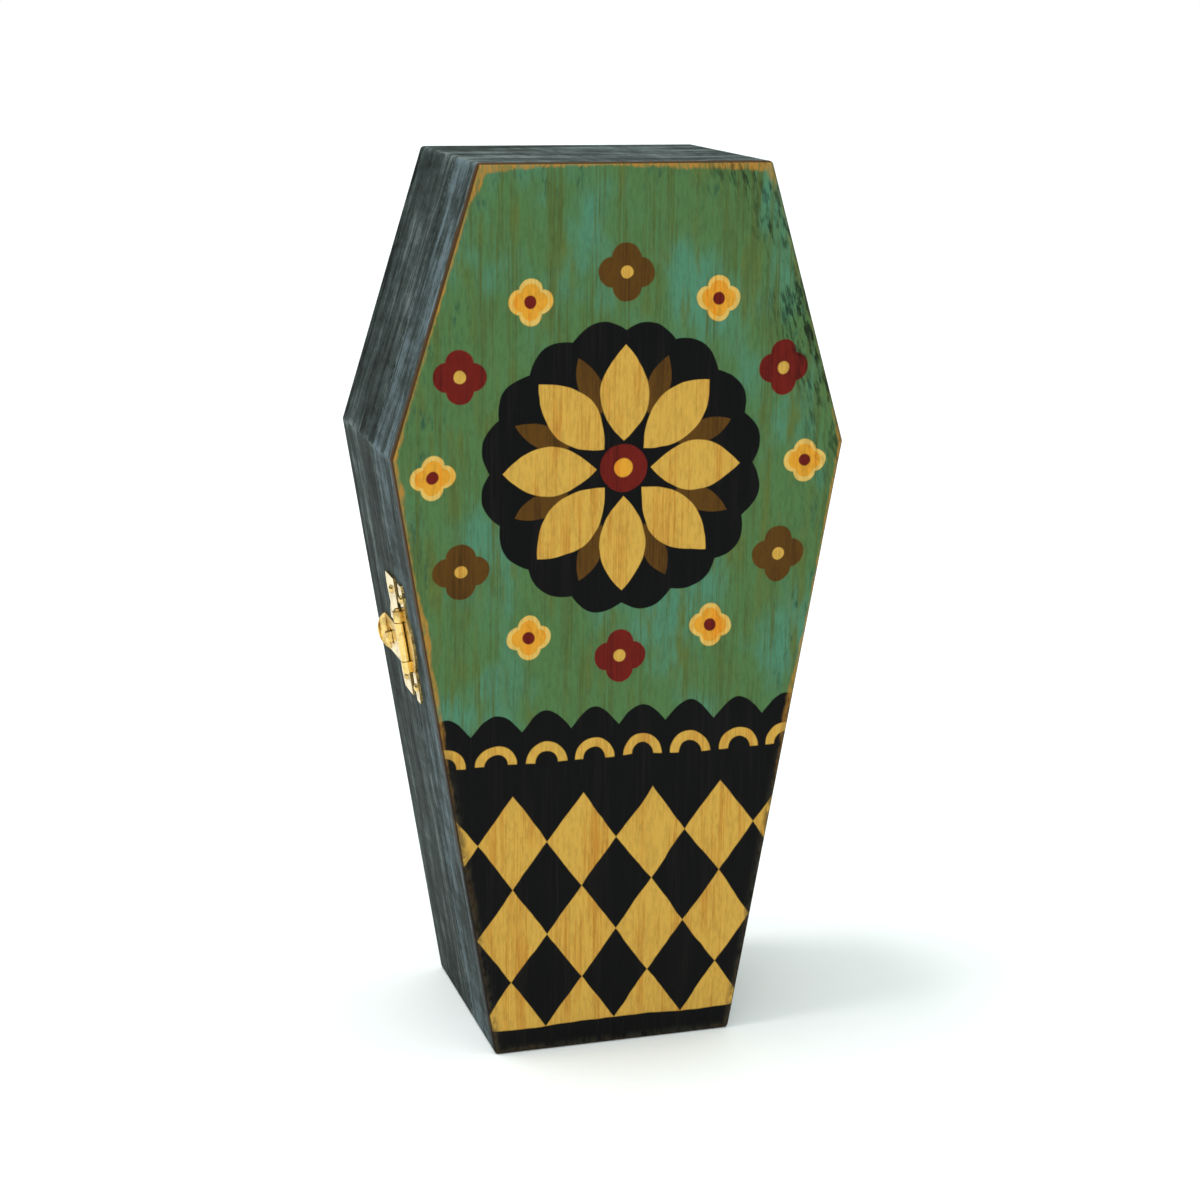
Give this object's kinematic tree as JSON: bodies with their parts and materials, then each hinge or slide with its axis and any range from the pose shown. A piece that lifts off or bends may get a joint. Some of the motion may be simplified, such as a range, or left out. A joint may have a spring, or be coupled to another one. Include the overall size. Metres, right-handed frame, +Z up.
{
  "type": "jack in the box",
  "caption": "Coffin-shaped painted wooden box on its foot: a deep hinged lid with a brass hasp, and a wooden jack on a coil spring inside.",
  "frame": {"origin": "on the table under the middle of the closed case", "axes": "+Z up along the standing case, -Y out of the painted lid, +X towards the hinges"},
  "size_m": [0.104, 0.0536, 0.203],
  "materials": {
    "charcoal_paint": "charcoal-grey paint dry-brushed with lighter grey along the grain",
    "lid_paint": "hand-painted teal-green, black and ochre on wood, with worn edges",
    "bare_wood": "bare sanded wood",
    "brass": "polished brass sheet",
    "spring_steel": "bright drawn steel wire",
    "robe_paint": "satin red paint on wood",
    "collar_paint": "satin ochre paint on wood",
    "head_paint": "waxed pale wood",
    "nose_paint": "satin red paint on wood",
    "cap_paint": "satin teal paint on wood"
  },
  "bodies": {
    "box": {"back_panel": "charcoal_paint", "box_foot_wall": "charcoal_paint", "box_lower_left_wall": "charcoal_paint", "box_lower_right_wall": "charcoal_paint", "box_upper_left_wall": "charcoal_paint", "box_upper_right_wall": "charcoal_paint", "box_top_wall": "charcoal_paint", "lower_hinge_box_leaf": "brass", "upper_hinge_box_leaf": "brass", "lower_hinge_pin": "brass", "upper_hinge_pin": "brass", "hinge_box_nails": "brass", "catch_plate": "brass", "catch_nails": "brass", "spring_seat": "bare_wood", "seat_dowel": "bare_wood", "jack_spring": "spring_steel"},
    "lid": {"front_panel": "lid_paint", "lid_foot_rail": "charcoal_paint", "lid_lower_left_rail": "charcoal_paint", "lid_lower_right_rail": "charcoal_paint", "lid_upper_left_rail": "charcoal_paint", "lid_upper_right_rail": "charcoal_paint", "lid_top_rail": "charcoal_paint", "lower_hinge_lid_leaf": "brass", "upper_hinge_lid_leaf": "brass", "hinge_lid_nails": "brass", "hasp_plate": "brass", "hasp_pin": "brass", "hasp_nails": "brass"},
    "hasp": {"hasp_flap": "brass"},
    "jack": {"jack_plate": "bare_wood", "plate_dowel": "bare_wood", "jack_body": "robe_paint", "jack_right_arm": "robe_paint", "jack_left_arm": "robe_paint", "neck_dowel": "bare_wood", "jack_collar": "collar_paint", "jack_head": "head_paint", "jack_nose": "nose_paint", "jack_cap": "cap_paint", "cap_bobble": "collar_paint"}
  },
  "joints": [
    {"name": "lid_hinge", "type": "hinge", "parent": "box", "child": "lid", "pos_m": [0.04167, -0.00675, 0.07001], "axis": [0.165, 0, 0.9863], "range_deg": [0, 180]},
    {"name": "hasp_hinge", "type": "hinge", "parent": "lid", "child": "hasp", "pos_m": [-0.04572, -0.00875, 0.09542], "axis": [-0.165, 0, 0.9863], "range_deg": [0, 140]},
    {"name": "jack_slide", "type": "slide", "parent": "box", "child": "jack", "axis": [0, -1, 0], "range_m": [0, 0.07], "deforming": ["jack_spring"]}
  ],
  "couplings": [
    {"joint": "jack_slide", "follows": "lid_hinge", "m_per_rad": 0.02228}
  ]
}
